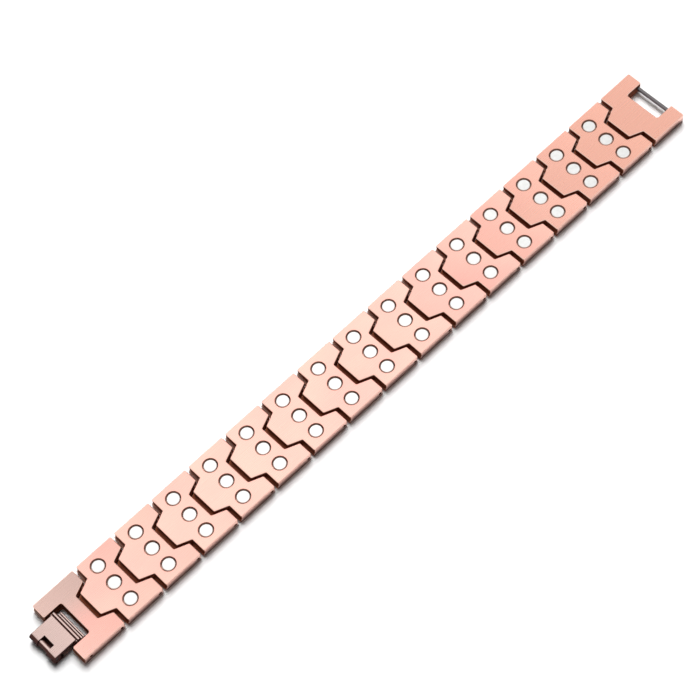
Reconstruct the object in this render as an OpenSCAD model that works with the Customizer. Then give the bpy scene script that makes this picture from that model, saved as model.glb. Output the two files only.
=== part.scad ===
// Magnetic link bracelet, open and lying flat with its inner, magnet side up.
// X runs along the band from the clasp to the catch bar, Y across it, Z up.

/* [Band] */
// Distance between the magnet columns of neighbouring links
pitch = 12.6; // [12.4:0.1:14]
// Width of the band
band_w = 20; // [19:0.5:24]
// Thickness of the links
band_t = 3; // [2.8:0.1:3.4]
// Number of links with magnets
link_count = 15; // [9:1:17]
// Bevel along the edges of the links
edge_bevel = 0.15; // [0.05:0.01:0.25]
// Radius of the corners of a link's outline
corner_r = 0.35; // [0.3:0.05:0.5]

/* [Tongue and notch] */
// Magnet column to the shoulders beside the tongue
shoulder = 4.05; // [3.8:0.05:4.2]
// Magnet column to the ends of the arms beside the notch
arm_reach = 7.35; // [7.2:0.05:7.5]
// How much further out the tip of the tongue and its corners with the shoulders stand near the outer face
foot = 0.9; // [0.3:0.1:0.9]
// How much further out the outer ends of the shoulders stand there
shoulder_foot = 0.4; // [0.1:0.1:0.7]
// How much further out the slanted sides of the tongue stand there
side_foot = 0.45; // [0.05:0.05:0.45]
// How much shorter the arms are near the outer face
undercut = 0.1; // [0.05:0.05:0.4]
// Height of the feet and of the undercuts
foot_z = 1.2; // [0.8:0.1:1.4]
// Magnet column to the tip of the tongue
tongue_reach = 7.8; // [7.5:0.05:7.9]
// Width of the tongue at its tip
tongue_tip_w = 7.9; // [6:0.1:9]
// Width of the tongue at the shoulders
tongue_base_w = 11.1; // [10:0.1:12]
// Gap between the tongue's tip and the floor of the notch
tip_gap = 1.25; // [1.1:0.05:1.5]
// Gap between the tongue and each side of the notch, across the band
side_gap = 0.8; // [0.5:0.05:1]

/* [Hinge pins] */
// Magnet column to the pin axis
knuckle = 6.25; // [6.1:0.05:6.4]
// Diameter of the hinge pins and the clasp pin
pin_d = 0.9; // [0.6:0.1:1]
// Depth of the pin ends below the sides of the band
pin_sink = 0.5; // [0.1:0.1:1]
// Clearance round a pin
pin_gap = 0.05; // [0.02:0.01:0.08]

/* [Magnets] */
// Diameter of a magnet pocket
pocket_d = 4.2; // [3.8:0.1:4.6]
// Depth of a magnet pocket
pocket_depth = 1.8; // [1:0.1:2]
// Diameter of a magnet
magnet_d = 3.4; // [3:0.1:3.7]
// Spacing of the three magnets across the band
magnet_spacing = 6.2; // [5.5:0.1:7]
// Depth of the outer magnets below the inner face
magnet_sink = 0.2; // [0.1:0.05:0.5]
// Depth of the middle magnet below the inner face
middle_magnet_sink = 0.3; // [0.1:0.05:0.5]
// Bevel round a magnet's face
magnet_bevel = 0.12; // [0.05:0.01:0.3]

/* [End links] */
// Width of the open bay in each end link
bay_w = 11; // [10.6:0.1:12]
// Radius of the inner corners of a bay
bay_corner_r = 0.6; // [0.35:0.05:1]
// Column line to the outer end of the clasp end link
clasp_arm_reach = 5.75; // [5.3:0.05:6]
// Column line to the floor of the clasp bay
clasp_bay_floor = 0.15; // [0:0.05:0.2]
// How much further out the walls of the clasp bay and the ends of its arms stand near the outer face
clasp_foot = 0.3; // [0.1:0.05:0.3]
// Column line to the outer end of the catch end link
catch_arm_reach = 7; // [6.9:0.05:8]
// Column line to the floor of the catch bay
catch_bay_floor = 1.5; // [1:0.1:1.6]
// Diameter of the catch bar
bar_d = 1.1; // [0.8:0.1:1.2]
// Catch bar axis to the outer end of the arms
bar_inset = 1.1; // [1:0.1:1.6]
// Depth of the bar's sockets in the arms
bar_socket = 3; // [1:0.5:3.5]

/* [Clasp] */
// Column line to the clasp pin axis
clasp_pin_x = 3.85; // [3.8:0.05:4]
// Height of the clasp pin axis
clasp_pin_z = 1.6; // [1.55:0.05:1.7]
// Clasp pin axis to cover pin axis
clasp_reach = 6.4; // [6:0.1:7.5]
// Width of the clasp plate and cover
clasp_w = 9.3; // [8:0.1:9.5]
// Thickness of the clasp plate
plate_t = 0.7; // [0.5:0.05:0.8]
// Thickness of the clasp cover
cover_t = 0.5; // [0.4:0.05:0.5]
// Radius of the eye round the clasp pin
eye_r = 1.15; // [1:0.05:1.2]
// How far the eye stands out past each side of the plate
eye_extra = 0.25; // [0:0.05:0.4]
// Width of the rib along the top of the eye
rib_w = 0.4; // [0.3:0.05:0.5]
// Radius of the rounded prongs
prong_r = 1.2; // [1:0.05:1.25]
// Radius of the cover's knuckle
knuckle_r = 0.85; // [0.7:0.05:0.9]
// Width of the slot between the prongs
slot_w = 3.7; // [3:0.1:5]
// Cover pin axis to the floor of the slot
slot_depth = 1.7; // [1.5:0.1:2.5]
// Diameter of the cover pin
cover_pin_d = 0.8; // [0.6:0.1:0.9]
// Clasp pin axis to the free end of the cover
cover_tail = 2.5; // [2.4:0.1:2.6]
// Width of each of the two grip ridges at the free end
ridge_w = 0.3; // [0.2:0.05:0.4]
// Height of the grip ridges
ridge_h = 1; // [0.7:0.1:1.2]

/* [Hidden] */
// Corner points of an outline are [x, y, corner radius]
arc_steps = 3;
round_fn = 64;
small_fn = 40;
past = 1;                                   // how far a cut runs past what it cuts
bevel_past = 0.1;                           // how far the edge bevels run past the faces
half_w = band_w / 2;
mid_z = band_t / 2;
tongue_slope = (tongue_base_w - tongue_tip_w) / 2 / (tongue_reach - shoulder);
notch_floor = pitch - tongue_reach - tip_gap;
foot_slope = 0.2;                           // half the height of the slope above a foot
tongue_feet = [foot, shoulder_foot, side_foot];
catch_bar_x = catch_arm_reach - bar_inset;
cover_pin_x = clasp_pin_x + clasp_reach;
cover_pin_z = band_t - prong_r;
clasp_tip = cover_pin_x + prong_r;
// Puts the middle of the whole length, clasp included, on X = 0
centre_shift = (clasp_tip - catch_arm_reach) / 2;
pin_bore_r = pin_d / 2 + pin_gap;
cover_bore_r = cover_pin_d / 2 + pin_gap;
leaf_gap = 0.1;                             // between the cover and the parts of the inner leaf above it
web_gap = 0.15;                             // beside the cover's web in the slot
web_t = 1.3;
web_w = slot_w - 2 * web_gap;
cover_l = clasp_reach + cover_tail;
ridge_margin = 0.2;                         // side of the cover to the end of a grip ridge
ridge_step = 2 * ridge_w;
ridge_inset = 0.2;                          // free end of the cover to the outer ridge
sheet_bevel = 0.12;
cover_pin_sink = 0.1;                       // depth of the cover pin's ends below the sides of the prongs
rib_drop = 0.2;                             // top of the rib below the top of the inner leaf
seam_drop = 0.65;                           // depth of the seam between the inner leaf's plate and the rib
magnet_bed = 0.05;                          // adhesive under a magnet

copper = "#d9a38a";
worn_copper = "#b98d7c";
steel = "#9a9a9c";
magnet_silver = "#e8e8ea";

function two_digits(i) = str(i < 10 ? "0" : "", i);
function link_name(i) = str("link_", two_digits(i));
function magnets_name(i) = str("magnets_", two_digits(i));
function pin_name(i) = str("hinge_pin_", two_digits(i));

// Column line of link i: 0 is the clasp end link, link_count + 1 the catch end link
function column_x(i) = (i - (link_count + 1) / 2) * pitch + centre_shift;

// Outlines
function unit(v) = v / norm(v);
function turned(v, angle) = [v.x * cos(angle) - v.y * sin(angle), v.x * sin(angle) + v.y * cos(angle)];
function flat(p) = [p.x, p.y];
function corner_arc(before, here, after, r) =
    let (u = unit(before - here), v = unit(after - here))
    let (half = acos(u * v) / 2)
    let (centre = here + unit(u + v) * r / sin(half))
    let (start = here + u * r / tan(half) - centre)
    let (turn = sign(cross(v, u)) * (180 - 2 * half))
    [for (k = [0:arc_steps]) centre + turned(start, turn * k / arc_steps)];
function rounded(corners) =
    let (n = len(corners))
    [for (i = [0:n - 1])
        let (before = corners[(i + n - 1) % n], here = corners[i], after = corners[(i + 1) % n])
        each corner_arc(flat(before), flat(here), flat(after), here.z)];
function inward(a, b) = unit([a.y - b.y, b.x - a.x]);
function inset(points, d) =
    let (n = len(points))
    [for (i = [0:n - 1])
        let (m = inward(points[(i + n - 1) % n], points[i]), k = inward(points[i], points[(i + 1) % n]))
        points[i] + d * (m + k) / (1 + m * k)];

// Half width of the tongue at a distance x back from the magnet column
function tongue_half(x) = tongue_tip_w / 2 + (tongue_reach - x) * tongue_slope;
function notch_half(x) = tongue_half(pitch - x) + side_gap;
// The two halves of an outline run counterclockwise: right side upwards, left side downwards.
// Near the outer face the arms are cut back and the feet stand out.
function notch_side(cut = 0) =
    let (reach = arm_reach - cut)
    [
        [reach, -half_w, corner_r],
        [reach, -notch_half(reach), corner_r],
        [notch_floor, -notch_half(notch_floor), corner_r],
        [notch_floor, notch_half(notch_floor), corner_r],
        [reach, notch_half(reach), corner_r],
        [reach, half_w, corner_r]
    ];
function tongue_side(feet = [0, 0, 0]) =
    let (base = shoulder + feet[0], tip = tongue_reach + feet[0], side = shoulder + feet[1])
    let (base_half = tongue_half(base) + feet[2], tip_half = tongue_half(tip) + feet[2])
    [
        [-side, half_w, corner_r],
        [-base, base_half, corner_r],
        [-tip, tip_half, corner_r],
        [-tip, -tip_half, corner_r],
        [-base, -base_half, corner_r],
        [-side, -half_w, corner_r]
    ];
// Arms round a bay; s is 1 for the catch end and -1 for the clasp end
function bay_side(s, reach, floor_x, bay_half = bay_w / 2) = [
    [s * reach, -s * half_w, corner_r],
    [s * reach, -s * bay_half, corner_r],
    [s * floor_x, -s * bay_half, bay_corner_r],
    [s * floor_x, s * bay_half, bay_corner_r],
    [s * reach, s * bay_half, corner_r],
    [s * reach, s * half_w, corner_r]
];

// A plate with one outline up to the feet and another above them, and with bevelled edges.
// The bevels run on past both faces, for a later cut to trim.
module stepped_plate(bottom, top) {
    n = len(bottom);
    rings = [
        [inset(bottom, edge_bevel + bevel_past), -bevel_past],
        [bottom, edge_bevel],
        [bottom, foot_z - foot_slope],
        [top, foot_z + foot_slope],
        [top, band_t - edge_bevel],
        [inset(top, edge_bevel + bevel_past), band_t + bevel_past]
    ];
    last = len(rings) - 1;
    points = [for (ring = rings) each [for (p = ring[0]) [p.x, p.y, ring[1]]]];
    walls = [for (k = [0:last - 1], i = [0:n - 1])
        [k * n + i, (k + 1) * n + i, (k + 1) * n + (i + 1) % n, k * n + (i + 1) % n]];
    floor_face = [for (i = [0:n - 1]) i];
    top_face = [for (i = [n - 1:-1:0]) last * n + i];
    polyhedron(points, concat([floor_face, top_face], walls), convexity = 6);
}

module along_y(r, length, fn = small_fn)
    rotate([90, 0, 0]) cylinder(r = r, h = length, center = true, $fn = fn);

module pin_bore(x) translate([x, 0, mid_z]) along_y(pin_bore_r, band_w + 2 * past);

// Each argument is the outline of one end: near the outer face, then above the feet
module link_body(right_low, right_high, left_low, left_high)
    intersection() {
        stepped_plate(rounded(concat(right_low, left_low)), rounded(concat(right_high, left_high)));
        translate([-pitch, -band_w, 0]) cube([2 * pitch, 2 * band_w, band_t]);
    }

module link(i)
    color(copper) translate([column_x(i), 0, 0]) difference() {
        link_body(notch_side(undercut), notch_side(), tongue_side(tongue_feet), tongue_side());
        pin_bore(knuckle);
        pin_bore(knuckle - pitch);
        for (side = [-1:1]) translate([0, side * magnet_spacing, band_t - pocket_depth])
            cylinder(d = pocket_d, h = pocket_depth + past, $fn = small_fn);
    }

module end_link_clasp() {
    lower_reach = clasp_arm_reach + clasp_foot;
    lower_bay = bay_side(-1, lower_reach, clasp_bay_floor + clasp_foot, bay_w / 2 - clasp_foot);
    color(worn_copper) translate([column_x(0), 0, 0]) difference() {
        link_body(notch_side(undercut), notch_side(), lower_bay,
                  bay_side(-1, clasp_arm_reach, clasp_bay_floor));
        pin_bore(knuckle);
        translate([-clasp_pin_x, 0, clasp_pin_z]) along_y(pin_bore_r, band_w + 2 * past);
    }
}

// The ends of these arms are cut back half as far near the outer face
module end_link_catch()
    color(copper) translate([column_x(link_count + 1), 0, 0]) difference() {
        link_body(bay_side(1, catch_arm_reach - undercut / 2, catch_bay_floor),
                  bay_side(1, catch_arm_reach, catch_bay_floor), tongue_side(tongue_feet), tongue_side());
        pin_bore(knuckle - pitch);
        translate([catch_bar_x, 0, mid_z]) along_y(bar_d / 2 + pin_gap, bay_w + 2 * bar_socket);
    }

module catch_bar()
    color(steel) translate([column_x(link_count + 1) + catch_bar_x, 0, mid_z])
        along_y(bar_d / 2, bay_w + 2 * bar_socket - 2 * pin_gap, round_fn);

module magnet(sink) {
    face_z = band_t - sink;
    back_z = band_t - pocket_depth + magnet_bed;
    translate([0, 0, back_z]) cylinder(d = magnet_d, h = face_z - magnet_bevel - back_z, $fn = small_fn);
    translate([0, 0, face_z - magnet_bevel])
        cylinder(d1 = magnet_d, d2 = magnet_d - 2 * magnet_bevel, h = magnet_bevel, $fn = small_fn);
}

module magnets(i)
    color(magnet_silver) translate([column_x(i), 0, 0])
        for (side = [-1:1]) translate([0, side * magnet_spacing, 0])
            magnet(side == 0 ? middle_magnet_sink : magnet_sink);

// Pin i joins link i - 1 to link i
module hinge_pin(i)
    color(steel) translate([column_x(i - 1) + knuckle, 0, mid_z]) along_y(pin_d / 2, band_w - 2 * pin_sink);

module clasp_pin()
    color(steel) translate([column_x(0) - clasp_pin_x, 0, clasp_pin_z])
        along_y(pin_d / 2, band_w - 2 * pin_sink);

// Square bar on edge, centred on a long edge that it bevels
module edge_cut(length, bevel, along) {
    side = bevel * sqrt(2);
    rotate(along == "x" ? [45, 0, 0] : [0, 45, 0])
        cube(along == "x" ? [length, side, side] : [side, length, side], center = true);
}

// Inner leaf, drawn from the clasp pin axis towards -X
module clasp_plate()
    color(worn_copper) translate([column_x(0) - clasp_pin_x, 0, 0]) difference() {
        union() {
            translate([-clasp_reach, -clasp_w / 2, band_t - plate_t]) cube([clasp_reach, clasp_w, plate_t]);
            translate([-clasp_reach, 0, cover_pin_z]) along_y(prong_r, clasp_w, round_fn);
            intersection() {
                translate([0, 0, clasp_pin_z]) along_y(eye_r, clasp_w + 2 * eye_extra, round_fn);
                translate([-band_t, -half_w, cover_t + leaf_gap]) cube([2 * band_t, band_w, band_t]);
            }
            translate([rib_w, -clasp_w / 2 - eye_extra, clasp_pin_z])
                cube([rib_w, clasp_w + 2 * eye_extra, band_t - rib_drop - clasp_pin_z]);
        }
        translate([0, -half_w, band_t - seam_drop]) cube([rib_w, band_w, band_t]);
        translate([-clasp_reach - 2 * prong_r, -slot_w / 2, -past])
            cube([2 * prong_r + slot_depth, slot_w, band_t + 2 * past]);
        translate([0, 0, clasp_pin_z]) along_y(pin_bore_r, band_w);
        translate([-clasp_reach, 0, cover_pin_z]) along_y(cover_bore_r, band_w);
        for (side = [-1, 1]) translate([-clasp_reach / 2, side * clasp_w / 2, band_t])
            edge_cut(2 * clasp_reach, sheet_bevel, "x");
        translate([0, 0, band_t]) edge_cut(band_w, sheet_bevel, "y");
    }

module cover_pin()
    color(steel) translate([column_x(0) - cover_pin_x, 0, cover_pin_z])
        along_y(cover_pin_d / 2, clasp_w - 2 * cover_pin_sink);

// Outer leaf, drawn from the cover pin axis towards +X
module clasp_cover()
    color(worn_copper) translate([column_x(0) - cover_pin_x, 0, 0]) difference() {
        union() {
            translate([-web_t / 2, -clasp_w / 2, 0]) cube([cover_l + web_t / 2, clasp_w, cover_t]);
            translate([-web_t / 2, -web_w / 2, 0]) cube([web_t, web_w, cover_pin_z]);
            translate([0, 0, cover_pin_z]) along_y(knuckle_r, web_w, round_fn);
            for (k = [0, 1])
                translate([cover_l - ridge_inset - ridge_w - k * ridge_step, -clasp_w / 2 + ridge_margin, 0])
                    cube([ridge_w, clasp_w - 2 * ridge_margin, ridge_h]);
        }
        translate([0, 0, cover_pin_z]) along_y(cover_bore_r, band_w);
        for (side = [-1, 1]) translate([cover_l / 2, side * clasp_w / 2, 0])
            edge_cut(2 * cover_l, sheet_bevel, "x");
        for (x = [-web_t / 2, cover_l]) translate([x, 0, 0]) edge_cut(band_w, sheet_bevel, "y");
    }

end_link_clasp();
end_link_catch();
catch_bar();
clasp_pin();
clasp_plate();
cover_pin();
clasp_cover();
for (i = [1:link_count]) link(i);
for (i = [1:link_count]) magnets(i);
for (i = [1:link_count + 1]) hinge_pin(i);
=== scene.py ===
import math

import bpy
from mathutils import Matrix, Vector


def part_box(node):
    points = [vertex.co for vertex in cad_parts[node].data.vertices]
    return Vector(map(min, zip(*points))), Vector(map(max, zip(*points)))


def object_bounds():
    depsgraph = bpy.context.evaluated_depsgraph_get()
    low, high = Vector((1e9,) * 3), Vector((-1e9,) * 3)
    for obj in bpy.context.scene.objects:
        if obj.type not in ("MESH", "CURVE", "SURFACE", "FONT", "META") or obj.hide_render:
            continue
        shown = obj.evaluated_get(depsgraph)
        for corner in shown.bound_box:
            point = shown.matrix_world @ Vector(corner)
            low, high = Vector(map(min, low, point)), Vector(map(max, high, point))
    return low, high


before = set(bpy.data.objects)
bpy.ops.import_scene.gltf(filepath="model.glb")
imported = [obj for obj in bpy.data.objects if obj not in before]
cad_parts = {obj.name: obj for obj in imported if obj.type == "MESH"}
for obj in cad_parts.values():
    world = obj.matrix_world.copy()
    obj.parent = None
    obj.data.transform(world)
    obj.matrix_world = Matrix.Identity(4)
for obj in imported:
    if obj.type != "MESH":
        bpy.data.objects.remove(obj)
cad_low, cad_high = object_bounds()

# The bracelet lies on z = 0 along x, with y = 0 at its middle; lengths are in metres
MM = 0.001
BAND_T = cad_high[2]
HALF_W = cad_high[1]
LINK_COUNT = sum(name.startswith("link_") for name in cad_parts)
DISH_RADIUS = 200 * MM      # of the slightly hollow inner faces, along the band
MAX_TILT = 0.004            # slope of a link that lies a little askew
TILT_TURN = 2.4             # radians of a sine from one link's tilt to the next one's
FIRST_RUDDY = 11            # from this link on the copper is painted redder, for the dimmer reflection towards the catch
RUDDY_LINKS = 4             # for this many links, and stays so up to the catch

# The photograph's view: where it aims, how far off, and the angles in degrees
AIM = Vector((-1.05, 4.1, 3.0)) * MM
DISTANCE = 576.6 * MM
HEADING = 56.56             # from +X towards +Y
ELEVATION = 60.94
ROLL = -11.9
LENS = 115.37               # millimetres, as the sensor's width is
SENSOR = 36
NEAREST = 10 * MM
FARTHEST = 10000 * MM


def make_camera():
    heading, elevation, roll = (math.radians(a) for a in (HEADING, ELEVATION, ROLL))
    ahead = Vector((math.cos(elevation) * math.cos(heading), math.cos(elevation) * math.sin(heading),
                    -math.sin(elevation)))
    level = Vector((math.sin(heading), -math.cos(heading), 0))
    upright = level.cross(ahead)
    right = level * math.cos(roll) + upright * math.sin(roll)
    up = right.cross(ahead)
    data = bpy.data.cameras.new("camera")
    data.lens = LENS
    data.sensor_width = SENSOR
    data.clip_start = NEAREST
    data.clip_end = FARTHEST
    camera = bpy.data.objects.new("camera", data)
    place = Matrix((right, up, -ahead)).transposed().to_4x4()
    place.translation = AIM - ahead * DISTANCE
    camera.matrix_world = place
    bpy.context.scene.collection.objects.link(camera)
    bpy.context.scene.camera = camera


SEED_SHIFT = (1.7, 2.3, 3.1)    # features by which a seed of 1 moves a noise, so that like parts differ


class Material:
    """A Principled material and the nodes that feed it."""

    def __init__(self, name, **values):
        self.made = bpy.data.materials.new(name)
        self.made.use_nodes = True
        self.tree = self.made.node_tree
        self.shader = self.tree.nodes["Principled BSDF"]
        for socket, value in values.items():
            self.feed(self.shader.inputs[socket.replace("_", " ")], value)
        coordinates = self.node("TexCoord", {}).outputs
        self.position = coordinates["Object"]
        self.x, self.y, self.z = self.node("SeparateXYZ", {0: self.position}).outputs
        normal = self.node("SeparateXYZ", {0: coordinates["Normal"]})
        self.normal_x, self.normal_y, self.normal_z = normal.outputs

    def feed(self, socket, value):
        if isinstance(value, bpy.types.NodeSocket):
            self.tree.links.new(value, socket)
        else:
            socket.default_value = value

    def node(self, kind, inputs, **settings):
        made = self.tree.nodes.new("ShaderNode" + kind)
        for name, value in settings.items():
            setattr(made, name, value)
        for key, value in inputs.items():
            self.feed(made.inputs[key], value)
        return made

    def math(self, operation, a, b=0.0):
        return self.node("Math", {0: a, 1: b}, operation=operation).outputs[0]

    def absolute(self, value):
        return self.math("ABSOLUTE", value)

    def both(self, *shares):
        product = shares[0]
        for share in shares[1:]:
            product = self.math("MULTIPLY", product, share)
        return product

    def noise(self, scale, seed=0.0, detail=2.0, roughness=0.5):
        """Noise with a feature size of 1 / scale on each axis, shifted by seed."""
        shift = tuple(seed * part for part in SEED_SHIFT)
        moved = self.node("Mapping", {"Vector": self.position, "Scale": scale,
                                      "Location": shift}).outputs[0]
        return self.node("TexNoise", {"Vector": moved, "Scale": 1.0, "Detail": detail,
                                      "Roughness": roughness}).outputs["Fac"]

    def span(self, value, low, high, to_low=0.0, to_high=1.0):
        return self.node("MapRange", {"Value": value, "From Min": low, "From Max": high,
                                      "To Min": to_low, "To Max": to_high}).outputs[0]

    def mix(self, share, a, b, blend="MIX"):
        """Mixes two colours, which a Mix node takes at its inputs 6 and 7 and gives at its output 2."""
        made = self.node("Mix", {}, data_type="RGBA", blend_type=blend)
        for index, value in ((0, share), (6, a), (7, b)):
            self.feed(made.inputs[index], value)
        return made.outputs[2]

    def relief(self, height):
        """Shades the surface as if it stood out by height, in metres."""
        made = self.node("Bump", {"Height": height, "Strength": 1.0, "Distance": 1.0})
        self.feed(self.shader.inputs["Normal"], made.outputs[0])


# Colours: linear red, green and blue, and an opaque alpha
PEACH = (0.95, 0.54, 0.45, 1)
PINK = (0.95, 0.49, 0.42, 1)
RUDDY_DIMMER_REFLECTION = (1.0, 0.525, 0.41, 1)
GRAIN_TINT = (0.75, 0.7, 0.7, 1)
EDGE_WEAR_AND_HIGHLIGHT = (1.0, 0.66, 0.55, 1)
MAUVE_REFLECTION = (0.68, 0.465, 0.41, 1)
# The gaps' dark brown is partly patina and partly painted shade
PATINA_AND_SHADE = (0.25, 0.079, 0.04, 1)
LEDGE_PAINTED_LIGHT = (0.60, 0.42, 0.35, 1)
POCKET_PAINTED_LIGHT = (0.85, 0.60, 0.50, 1)
# The outer sides: painted shade, darker towards the bottom
SIDE_TOP = (1.0, 0.58, 0.48, 1)
SIDE_SHADED_LOW = (0.22, 0.14, 0.13, 1)
GREY_REFLECTION = (0.61, 0.51, 0.475, 1)
CLASP_SHADE = (0.075, 0.03, 0.025, 1)
NICKEL_DULL = (0.86, 0.86, 0.84, 1)
NICKEL_BRIGHT = (0.95, 0.95, 0.94, 1)
RIM_SHADE = (0.45, 0.34, 0.30, 1)
PIN_BROWN = (0.24, 0.11, 0.08, 1)
BAR_GREY = (0.22, 0.205, 0.21, 1)
WIRE_END_SHADE = (0.03, 0.02, 0.02, 1)
PAPER_DULL = (0.90, 0.90, 0.90, 1)
PAPER_BRIGHT = (0.93, 0.93, 0.93, 1)

# Noise: its features in each metre of x, y and z, and the values between which most of it lies
BLOTCHES = (55, 55, 55)
GRAIN = (160, 9000, 9000)
MOTTLING = (900, 900, 900)
DRAWN_LINES = (9000, 200, 9000)
FIBRES = (400, 400, 400)
MOST = (0.3, 0.7)
MOST_BLOTCHES = (0.35, 0.65)

# Shine: roughness from a noise's low to its high values, and the height of its relief in metres
FAINT_GLOSS = 0.1           # specular level of what isn't bare metal
SATIN = (0.26, 0.30)
MATT = 0.7
GRAIN_SHARE = 0.04          # of GRAIN_TINT, at most
GRAIN_RELIEF = 0.00015 * MM
NICKEL_ROUGHNESS = (0.32, 0.42)
NICKEL_RELIEF = 0.0003 * MM
PIN_ROUGHNESS = (0.45, 0.58)
BAR_ROUGHNESS = (0.28, 0.41)
DRAWN_RELIEF = 0.0012 * MM
DRAWN_SHADE = 0.75          # of the steel's colour, in the drawn lines

# Where a link changes: parts of the normal, or places in metres, from none of a colour to all of it
BEVEL_OFF_FACE = (0.97, 0.85)                   # upright part of the normal
BEVEL_OFF_WALL = (0.3, 0.6)
BARE_DEPTH = 0.12 * MM                          # below a face, down to here its metal stays bare and bright
PATINA_AND_SHADE_DEPTH = 0.2 * MM                         # and from here it has patina and painted shade
OUTER_SIDE = (HALF_W - 0.12 * MM, HALF_W - 0.08 * MM)
SIDE_HEIGHT = (0.6 * MM, 2.5 * MM)              # over which the side's painted shade fades out upwards
LEDGE_TOP = (0.2, 0.4)                          # upright part of the normal
LEDGE_Y = (5.6 * MM, 8.5 * MM)                  # only the gaps on this side, open to the light, get ledges painted pale as if lit
POCKET_X = (2.4 * MM, 2.3 * MM)                 # from the pockets' middle
REFLECTION_Y = (-5 * MM, 5 * MM)                      # across the end link at the clasp, over which a greyer reflection is painted


def copper_skin(m, seed):
    """Soft blotches of tone and grain along the band; returns the colour and the grain."""
    blotch = m.span(m.noise(BLOTCHES, seed), *MOST_BLOTCHES)
    grain = m.noise(GRAIN, seed, detail=3)
    colour = m.mix(blotch, PINK, PEACH)
    darker = m.mix(1.0, colour, GRAIN_TINT, "MULTIPLY")
    return m.mix(m.span(grain, *MOST, 0.0, GRAIN_SHARE), colour, darker), grain


def copper_finish(m, colour, grain, patina_and_shade, dark, hollow):
    """Feeds the shader: bright satin metal where patina_and_shade is 0, dull and dark where it is 1, as
    patina and painted shade.
    """
    m.feed(m.shader.inputs["Base Color"], m.mix(patina_and_shade, colour, dark))
    m.feed(m.shader.inputs["Metallic"], m.span(patina_and_shade, 0, 1, 1, 0))
    satin = m.span(grain, *MOST, *SATIN)
    m.feed(m.shader.inputs["Roughness"], m.span(patina_and_shade, 0, 1, satin, MATT))
    m.relief(m.math("ADD", hollow, m.math("MULTIPLY", grain, GRAIN_RELIEF)))


def middle_x(name):
    low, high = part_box(name)
    return (low[0] + high[0]) / 2


def link_copper(name, number):
    """A link's copper: worn inner and outer faces, brown patina and painted shade in the gaps, painted
    shade on the sides.
    """
    m = Material("copper_" + name, Specular_IOR_Level=FAINT_GLOSS)
    colour, grain = copper_skin(m, number)
    # Painted reflection: the redder copper towards the catch stands in for the mirrored light growing
    # dimmer there
    colour = m.mix(min(1, max(0, (number - FIRST_RUDDY) / RUDDY_LINKS)), colour, RUDDY_DIMMER_REFLECTION)
    # Painted reflection: the end link at the clasp turns mauve towards its far side, for a dimmer, greyer
    # reflection there
    if name == "end_link_clasp":
        colour = m.mix(m.span(m.y, *REFLECTION_Y), colour, MAUVE_REFLECTION)
    upright = m.absolute(m.normal_z)
    bevel = m.both(m.span(upright, *BEVEL_OFF_FACE), m.span(upright, *BEVEL_OFF_WALL))
    # The bevels are painted paler: worn, polished edges with a painted highlight
    colour = m.mix(bevel, colour, EDGE_WEAR_AND_HIGHLIGHT)
    # Walls below the faces, but the outer sides, get patina and painted shade
    between_faces = m.both(m.span(m.z, BARE_DEPTH, PATINA_AND_SHADE_DEPTH),
                           m.span(m.z, BAND_T - BARE_DEPTH, BAND_T - PATINA_AND_SHADE_DEPTH))
    outer_side = m.span(m.absolute(m.y), *OUTER_SIDE)
    # Painted shade: the outer sides darken towards the bottom, as they mirror the floor's shadow there
    shaded_side = m.mix(m.span(m.z, *SIDE_HEIGHT), SIDE_SHADED_LOW, SIDE_TOP)
    colour = m.mix(m.both(outer_side, between_faces), colour, shaded_side)
    patina_and_shade = m.both(between_faces, m.span(outer_side, 0, 1, 1, 0))
    # Painted light: the feet's sloping tops in the far gaps are painted pale where light comes in
    lit_ledge = m.both(m.span(m.normal_z, *LEDGE_TOP), m.span(m.y, *LEDGE_Y))
    dark = m.mix(lit_ledge, PATINA_AND_SHADE, LEDGE_PAINTED_LIGHT)
    # Painted light: the pocket walls are kept pale, so the shaded ring round each magnet isn't black
    if name.startswith("link"):
        off_pockets = m.math("SUBTRACT", m.x, middle_x(name.replace("link", "magnets")))
        dark = m.mix(m.span(m.absolute(off_pockets), *POCKET_X), dark, POCKET_PAINTED_LIGHT)
    off_middle = m.math("SUBTRACT", m.x, middle_x(name))
    dish = m.math("MULTIPLY", m.both(off_middle, off_middle), 0.5 / DISH_RADIUS)
    slope = m.math("MULTIPLY", off_middle, -MAX_TILT * math.sin(number * TILT_TURN))
    copper_finish(m, colour, grain, patina_and_shade, dark, m.math("ADD", dish, slope))
    return m.made


# The clasp's leaves: parts of the normal, or lengths in metres, from none of a colour to all of it
GREY_REFLECTION_SHARE = 0.75
TOWARDS_BAND = (0.0, 0.7)                       # part of the normal along +x
TOWARDS_BAND_LIFT = 0.22                        # painted light: faces that lean that way stay as bright as level ones
STEEP = (0.985, 0.965)                          # upright part of the normal, with that lift
FACING_UP = (0.4, 0.5)
RECESS_FADE = 0.05 * MM
KNUCKLE_REACH = 2.6 * MM                        # of the painted shade on the cover's knuckle, from its outer end
RIDGE_REACH = 1.5 * MM                          # of the painted shade in its grip ridges' grooves, from its free end
REACH_FADE = 0.3 * MM
UNDER_PLATE_SHADE = 0.25                         # of the painted shade that stays on the cover under the plate
CLASP_LEAVES = {
    "clasp_plate": {"seed": 17.0, "recess_z": 2.6 * MM},
    "clasp_cover": {"seed": 18.0, "recess_z": 0.95 * MM},
}


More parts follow.
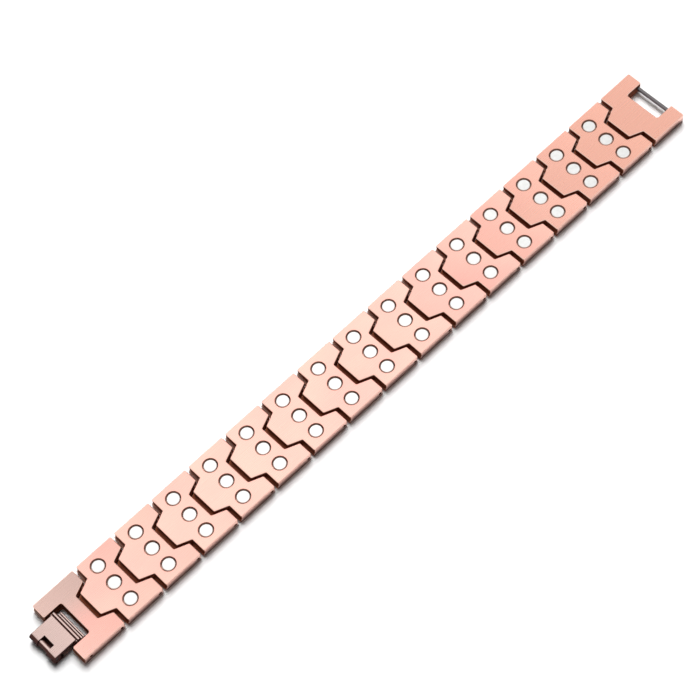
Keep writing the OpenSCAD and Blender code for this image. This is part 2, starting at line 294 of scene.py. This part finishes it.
def clasp_copper(name, seed, recess_z):
    """The clasp's copper: painted a greyer reflection, with painted shade on rounded ends and sides, and
    inside below recess_z.
    """
    m = Material("copper_" + name, Specular_IOR_Level=FAINT_GLOSS)
    colour, grain = copper_skin(m, seed)
    # Painted reflection: most of the clasp's colour is greyed, for the dimmer, greyer reflection at this
    # end
    colour = m.mix(GREY_REFLECTION_SHARE, colour, GREY_REFLECTION)
    # Painted shade: steep faces, rounded ends and inner faces below recess_z are painted dark; faces
    # leaning towards the band are kept as lit
    lift = m.span(m.normal_x, *TOWARDS_BAND, 0.0, TOWARDS_BAND_LIFT)
    steep = m.span(m.math("ADD", m.absolute(m.normal_z), lift), *STEEP)
    recess = m.both(m.span(m.normal_z, *FACING_UP), m.span(m.z, recess_z, recess_z - RECESS_FADE))
    if name == "clasp_cover":
        low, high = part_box(name)
        knuckle = low[0] + KNUCKLE_REACH
        ridges = high[0] - RIDGE_REACH
        under_plate = m.both(m.span(m.x, knuckle, knuckle + REACH_FADE),
                             m.span(m.x, ridges, ridges - REACH_FADE))
        recess = m.both(recess, m.span(under_plate, 0, 1, 1.0, UNDER_PLATE_SHADE))
    patina_and_shade = m.math("MAXIMUM", steep, recess)
    copper_finish(m, colour, grain, patina_and_shade, CLASP_SHADE, 0.0)
    return m.made


MAGNET_RIM = (0.85, 0.5)                        # upright part of the normal
WIRE_CUT = (0.7, 0.9)                           # part of the normal along the wire


def magnet(name, seed):
    """Nickel-plated magnet: a bright satin disc with fine mottling and a rim painted dark as shade."""
    m = Material(name, Specular_IOR_Level=FAINT_GLOSS)
    cloud = m.noise(MOTTLING, seed, detail=4)
    shaded_rim = m.span(m.normal_z, *MAGNET_RIM)
    nickel = m.mix(m.span(cloud, *MOST), NICKEL_DULL, NICKEL_BRIGHT)
    # Painted shade: the rim is dark and dull, for the narrow shaded gap round the magnet
    m.feed(m.shader.inputs["Base Color"], m.mix(shaded_rim, nickel, RIM_SHADE))
    m.feed(m.shader.inputs["Metallic"], m.span(shaded_rim, 0, 1, 1, 0))
    m.feed(m.shader.inputs["Roughness"], m.span(cloud, *MOST, *NICKEL_ROUGHNESS))
    m.relief(m.math("MULTIPLY", cloud, NICKEL_RELIEF))
    return m.made


def steel(name, base, roughness, metallic, seed=0.0):
    """Drawn steel wire, its lines along the wire and its cut ends painted dark as the shade of the holes
    they sit in.
    """
    m = Material(name, Metallic=metallic)
    lines = m.noise(DRAWN_LINES, seed, detail=3)
    shade = tuple(part * DRAWN_SHADE for part in base[:3]) + (1,)
    drawn = m.mix(m.span(lines, *MOST), shade, base)
    # Painted shade: the wire's ends are painted near black
    shaded_end = m.span(m.absolute(m.normal_y), *WIRE_CUT)
    m.feed(m.shader.inputs["Base Color"], m.mix(shaded_end, drawn, WIRE_END_SHADE))
    m.feed(m.shader.inputs["Roughness"], m.span(lines, *MOST, *roughness))
    m.relief(m.math("MULTIPLY", lines, DRAWN_RELIEF))
    return m.made


def dress_nodes():
    pin_steel = steel("pin_steel", PIN_BROWN, PIN_ROUGHNESS, metallic=0.3)
    bar_steel = steel("bar_steel", BAR_GREY, BAR_ROUGHNESS, metallic=1.0, seed=2.0)
    end_numbers = {"end_link_clasp": 0, "end_link_catch": LINK_COUNT + 1}
    for name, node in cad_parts.items():
        kind, _, number = name.rpartition("_")
        if name in end_numbers:
            finish = link_copper(name, end_numbers[name])
        elif kind == "link":
            finish = link_copper(name, int(number))
        elif kind == "magnets":
            finish = magnet("nickel_" + number, float(number))
        elif name in CLASP_LEAVES:
            finish = clasp_copper(name, **CLASP_LEAVES[name])
        elif name == "catch_bar":
            finish = bar_steel
        else:
            finish = pin_steel
        node.data.materials.clear()
        node.data.materials.append(finish)


# Studio: a soft light mirrored in the top faces, two for the floor, and a pale surround; power in
# watts, spread in degrees and lengths in metres
KEY_PLACE = Vector((104, 237, 520)) * MM
KEY_SIZE = (260 * MM, 420 * MM)
KEY_POWER = 0.24
FLOOR_LIGHT = {"towards": Vector((0.51, 0.47, 1)), "spread": 38, "strength": 3.5}
FILL = {"towards": Vector((0.6, 0.5, 1)), "spread": 75, "strength": 1.15}
SURROUND = 0.84
FLOOR_SIZE = 6000 * MM
FLOOR_DROP = 0.02 * MM      # keeps the floor's plane clear of the links' outer faces
PAPER_ROUGHNESS = 0.9


def area_light(name, place, target, size, power):
    data = bpy.data.lights.new(name, "AREA")
    data.shape = "RECTANGLE"
    data.size, data.size_y = size
    data.energy = power
    light = bpy.data.objects.new(name, data)
    light.location = place
    light.rotation_mode = "QUATERNION"
    light.rotation_quaternion = (target - place).to_track_quat("-Z", "Y")
    bpy.context.scene.collection.objects.link(light)


def distant_light(name, towards, spread, strength):
    """Lights the whole floor alike and isn't mirrored."""
    data = bpy.data.lights.new(name, "SUN")
    data.energy = strength
    data.angle = math.radians(spread)
    light = bpy.data.objects.new(name, data)
    light.rotation_mode = "QUATERNION"
    light.rotation_quaternion = towards.to_track_quat("Z", "Y")
    light.visible_glossy = False
    bpy.context.scene.collection.objects.link(light)


def make_surround():
    """A pale world that shows in the metal and behind the floor, and lights nothing else."""
    world = bpy.data.worlds.new("studio")
    world.use_nodes = True
    background = world.node_tree.nodes["Background"]
    background.inputs["Color"].default_value = (1, 1, 1, 1)
    background.inputs["Strength"].default_value = SURROUND
    bpy.context.scene.world = world
    world.cycles_visibility.diffuse = False


def make_floor():
    bpy.ops.mesh.primitive_plane_add(size=FLOOR_SIZE, location=(0, 0, -FLOOR_DROP))
    floor = bpy.context.object
    floor.name = "floor"
    paper = Material("floor_paper", Roughness=PAPER_ROUGHNESS)
    fibre = paper.span(paper.noise(FIBRES, detail=3), *MOST)
    paper.feed(paper.shader.inputs["Base Color"], paper.mix(fibre, PAPER_DULL, PAPER_BRIGHT))
    floor.data.materials.append(paper.made)


def make_studio():
    make_surround()
    area_light("key", KEY_PLACE, Vector((0, 0, 0)), KEY_SIZE, KEY_POWER)
    distant_light("floor_light", **FLOOR_LIGHT)
    distant_light("fill", **FILL)
    make_floor()
    bpy.context.scene.view_settings.view_transform = "Standard"


make_camera()
make_studio()
dress_nodes()
